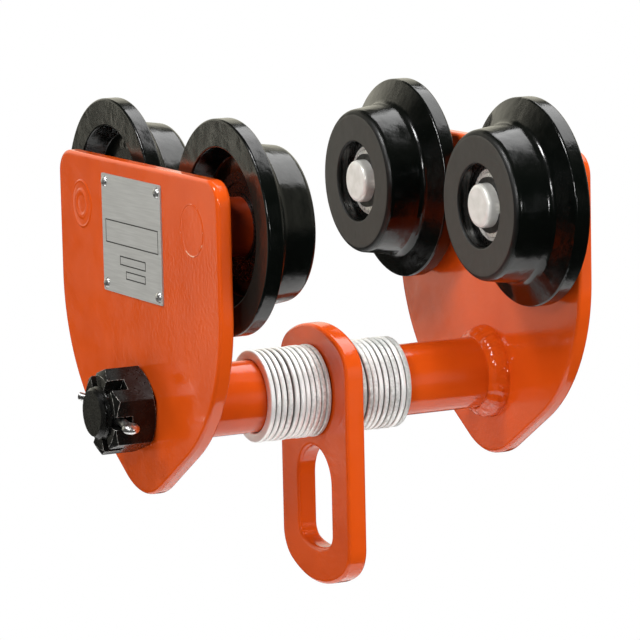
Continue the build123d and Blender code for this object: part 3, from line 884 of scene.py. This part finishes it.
# %% Finish the name plate and print its fields
HEAD_DULL = (0.45, 0.45, 0.44)
HEAD_BRIGHT = (0.86, 0.86, 0.85)
brushed = Finish("brushed_aluminium")
streaks = brushed.noise(0.5 * MM, 3, stretch=(1, 0.04, 1))
brushed.into("Base Color", brushed.ramp(streaks, (0.42, 0.42, 0.405), (0.52, 0.52, 0.50)))
brushed.into("Roughness", brushed.spread(streaks, 0.36, 0.5))
brushed.relief((streaks, 0.006 * MM))
brushed.set("Metallic", 0.35)
coat_solid("name_plate", brushed.material)

rivet_metal = Finish("bright_rivet_heads")
rivet_metal.into("Base Color", rivet_metal.ramp(rivet_metal.noise(1.2 * MM, 3), HEAD_DULL, HEAD_BRIGHT))
rivet_metal.into("Roughness", rivet_metal.spread(rivet_metal.noise(0.8 * MM), 0.2, 0.4))
rivet_metal.relief((rivet_metal.noise(0.9 * MM, 2), 0.12 * MM))
rivet_metal.set("Metallic", 0.9)
coat_solid("name_plate_rivets", rivet_metal.material)

PRINT_DEPTH = 0.03
FRAME_LINE = 0.45
plate_low, plate_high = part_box("name_plate")
field_turn = Matrix.Rotation(-math.pi / 2, 4, "Y")


def printed_field(left, top, width, height):
    """A frame of thin print, measured from the plate's upper left corner as it is read."""
    select_only()
    bpy.ops.mesh.primitive_plane_add(size=1)
    field = bpy.context.object
    field.scale = Vector((height, width, 1)) * MM
    middle_y = plate_high.y - (left + width / 2) * MM
    middle_z = plate_high.z - (top + height / 2) * MM
    settle(field, Matrix.Translation((plate_low.x + 0.01 * MM, middle_y, middle_z)) @ field_turn)
    bpy.ops.object.mode_set(mode="EDIT")
    bpy.ops.mesh.select_all(action="SELECT")
    bpy.ops.mesh.inset(thickness=FRAME_LINE * MM)
    bpy.ops.mesh.delete(type="FACE")
    bpy.ops.mesh.select_all(action="SELECT")
    bpy.ops.mesh.extrude_region_move(TRANSFORM_OT_translate={"value": (-PRINT_DEPTH * MM, 0, 0)})
    bpy.ops.mesh.select_all(action="SELECT")
    bpy.ops.mesh.normals_make_consistent(inside=False)
    bpy.ops.object.mode_set(mode="OBJECT")
    return field


ink = Finish("black_print")
ink.into("Base Color", ink.ramp(ink.noise(0.6 * MM), (0.010, 0.010, 0.010), (0.022, 0.022, 0.022)))
ink.into("Roughness", ink.spread(ink.noise(0.4 * MM), 0.4, 0.55))
fields = [
    printed_field(3.0, 17.2, 47.8, 9.0),
    printed_field(15.6, 30.2, 23.4, 3.6),
    printed_field(20.8, 35.6, 17.8, 3.2),
]
print_piece = joined(fields, "name_plate_print")
finish_piece(print_piece, "frame", ink.material)

# %% [markdown]
# ## Cotter pin
# The cotter pin is bright drawn wire, the shiniest piece of the trolley.

# %% Finish the cotter pin
WIRE_DULL = (0.70, 0.70, 0.69)
WIRE_BRIGHT = (0.88, 0.88, 0.87)
bright_wire = Finish("bright_drawn_wire")
bright_wire.into("Base Color", bright_wire.ramp(bright_wire.noise(1.5 * MM, 3), WIRE_DULL, WIRE_BRIGHT))
bright_wire.into("Roughness", bright_wire.spread(bright_wire.noise(1 * MM), 0.26, 0.38))
bright_wire.set("Metallic", 1.0)
coat_solid("cotter_pin", bright_wire.material)
print("wire:", bright_wire.material.name)

# %% [markdown]
# ## Floor
# The floor is plain and pale and lies well below the trolley, so that no shadow falls in the
# picture. Near the trolley it is lit like any floor and keeps the shadow; further out it fades
# to the white of the background.

# %% Lay the floor
FLOOR_DROP = 240 * MM
FLOOR_RADIUS = 0.34
FLOOR_SHIFT = 0.14
FLOOR_GREY = (0.78, 0.78, 0.78)
FLOOR_PALE = (0.82, 0.82, 0.82)
FADE_START = 0.14
FADE_END = 0.31
select_only()
bpy.ops.mesh.primitive_circle_add(
    vertices=96, radius=FLOOR_RADIUS, fill_type="NGON",
    location=(0, FLOOR_SHIFT, cad_low.z - FLOOR_DROP),
)
floor = bpy.context.object
floor.name = "floor"
floor_white = Finish("pale_floor")
floor_white.into("Base Color", floor_white.ramp(floor_white.noise(0.4), FLOOR_GREY, FLOOR_PALE))
floor_white.set("Roughness", 0.9)
floor_seen = floor_white.add("ShaderNodeLightPath").outputs["Is Camera Ray"]
away = floor_white.add("ShaderNodeVectorMath", operation="LENGTH")
floor_white.feed(floor_white.place, away.inputs[0])
fade = floor_white.spread(away.outputs["Value"], 0, 1, FADE_START, FADE_END)
glow = floor_white.add("ShaderNodeEmission")
white_mix = floor_white.add("ShaderNodeMixShader")
floor_white.feed(floor_white.math("MULTIPLY", floor_seen, fade), white_mix.inputs["Fac"])
floor_white.feed(floor_white.shader.outputs["BSDF"], white_mix.inputs[1])
floor_white.feed(glow.outputs["Emission"], white_mix.inputs[2])
floor_white.feed(white_mix.outputs["Shader"], floor_white.nodes["Material Output"].inputs["Surface"])
floor.data.materials.append(floor_white.material)
print("floor at, mm:", round(floor.location.z / MM))

# %% [markdown]
# ## Light
# The photograph was lit by soft lamps overhead and on the left, in front of a white backdrop,
# and the room behind the camera was dark. The sky is white to the camera. For the rest of the
# light it is slightly warm, bright behind and to the left, and dim in front and below. Four
# lamps are mirrored in the paint, and the small ones in front put sparks on weld and edges.
# The fills only lighten, and glossy surfaces don't show them.

# %% Set up the sky
SKY_DIM = 0.02
SKY_BACK = 1.0
SKY_LEFT = 2.0
SKY_RIGHT = 0.4
SKY_WARM = (1.0, 0.96, 0.80)
world = bpy.data.worlds.new("studio")
bpy.context.scene.world = world
world.use_nodes = True
sky = world.node_tree.nodes
wires = world.node_tree.links
heading = sky.new("ShaderNodeSeparateXYZ")
wires.new(sky.new("ShaderNodeTexCoord").outputs["Generated"], heading.inputs["Vector"])


def sky_range(axis, start, end, low=0.0, high=1.0):
    """A level that changes along one axis of the sky."""
    node = sky.new("ShaderNodeMapRange")
    node.interpolation_type = "SMOOTHSTEP"
    for socket, value in zip(("From Min", "From Max", "To Min", "To Max"), (start, end, low, high)):
        node.inputs[socket].default_value = value
    wires.new(heading.outputs[axis], node.inputs["Value"])
    return node.outputs["Result"]


def sky_chain(operation, *levels):
    """Several levels multiplied or added up."""
    total = levels[0]
    for level in levels[1:]:
        node = sky.new("ShaderNodeMath")
        node.operation = operation
        wires.new(total, node.inputs[0])
        wires.new(level, node.inputs[1])
        total = node.outputs["Value"]
    return total


backdrop = sky_chain(
    "MULTIPLY", sky_range("Y", 0.25, 0.60, 0, SKY_BACK), sky_range("Z", -0.17, 0.12),
    sky_range("Z", 0.60, 0.38), sky_range("X", -0.43, -0.33, 0.05, 1),
)
left_panel = sky_chain(
    "MULTIPLY", sky_range("Y", 0.5, 0.8, 0, SKY_LEFT), sky_range("Z", -0.24, -0.14),
    sky_range("Z", 0.70, 0.45), sky_range("X", -0.428, -0.452), sky_range("X", -0.480, -0.455, 0.25, 1),
)
right_panel = sky_chain("MULTIPLY", sky_range("X", 0.52, 0.75, 0, SKY_RIGHT), sky_range("Z", -0.20, 0.10))
overhead = sky_range("Z", 0.4, 0.95, SKY_DIM, 4 * SKY_DIM)
sky_level = sky_chain("ADD", backdrop, left_panel, right_panel, overhead)
seen = sky.new("ShaderNodeLightPath").outputs["Is Camera Ray"]
sky_mix = sky.new("ShaderNodeMix")
wires.new(seen, sky_mix.inputs[0])
wires.new(sky_level, sky_mix.inputs[2])
sky_mix.inputs[3].default_value = 1.0
wires.new(sky_mix.outputs[0], sky["Background"].inputs["Strength"])
sky_tint = sky.new("ShaderNodeMixRGB")
wires.new(seen, sky_tint.inputs["Fac"])
sky_tint.inputs["Color1"].default_value = (*SKY_WARM, 1)
sky_tint.inputs["Color2"].default_value = (1, 1, 1, 1)
wires.new(sky_tint.outputs["Color"], sky["Background"].inputs["Color"])
print("sky levels:", SKY_DIM, SKY_BACK, SKY_LEFT, SKY_RIGHT)

# %% Set up the lamps
# For each lamp: place and size in metres, watts, and whether it is mirrored.
LAMPS = {
    "left_key": ((-0.60, -0.05, 0.72), (0.20, 0.20), 4.5, True),
    "right_top": ((0.46, 0.12, 0.80), (1.00, 0.44), 5.0, True),
    "top_fill": ((0.10, -0.35, 0.80), (0.40, 0.40), 7.0, False),
    "left_fill": ((-0.85, 0.55, -0.25), (0.50, 0.50), 3.4, False),
    "front_glint": ((-0.85, -0.72, 0.38), (0.18, 0.18), 3.0, True),
    "low_left_fill": ((-0.85, -0.72, -0.20), (0.50, 0.50), 3.6, False),
    "front_spark": ((0.06, -1.45, 0.14), (0.11, 0.11), 2.0, True),
    "front_fill": ((-0.25, -1.35, 0.20), (0.60, 0.60), 0.5, False),
    "front_right_fill": ((0.45, -0.80, 0.05), (0.50, 0.50), 4.4, False),
    "back_fill": ((0.30, 1.00, 0.60), (0.60, 0.60), 4.0, False),
    "right_fill": ((1.00, 0.10, 0.50), (0.60, 0.60), 4.0, False),
}
for lamp_name, (spot, size, watts, mirrored) in LAMPS.items():
    lamp = bpy.data.lights.new(lamp_name, "AREA")
    lamp.shape = "RECTANGLE"
    lamp.size, lamp.size_y = size
    lamp.energy = watts
    holder = bpy.data.objects.new(lamp_name, lamp)
    bpy.context.collection.objects.link(holder)
    holder.location = spot
    holder.rotation_euler = (-Vector(spot)).to_track_quat("-Z", "Y").to_euler()
    holder.visible_camera = False
    holder.visible_glossy = mirrored
print("lamps:", list(LAMPS))
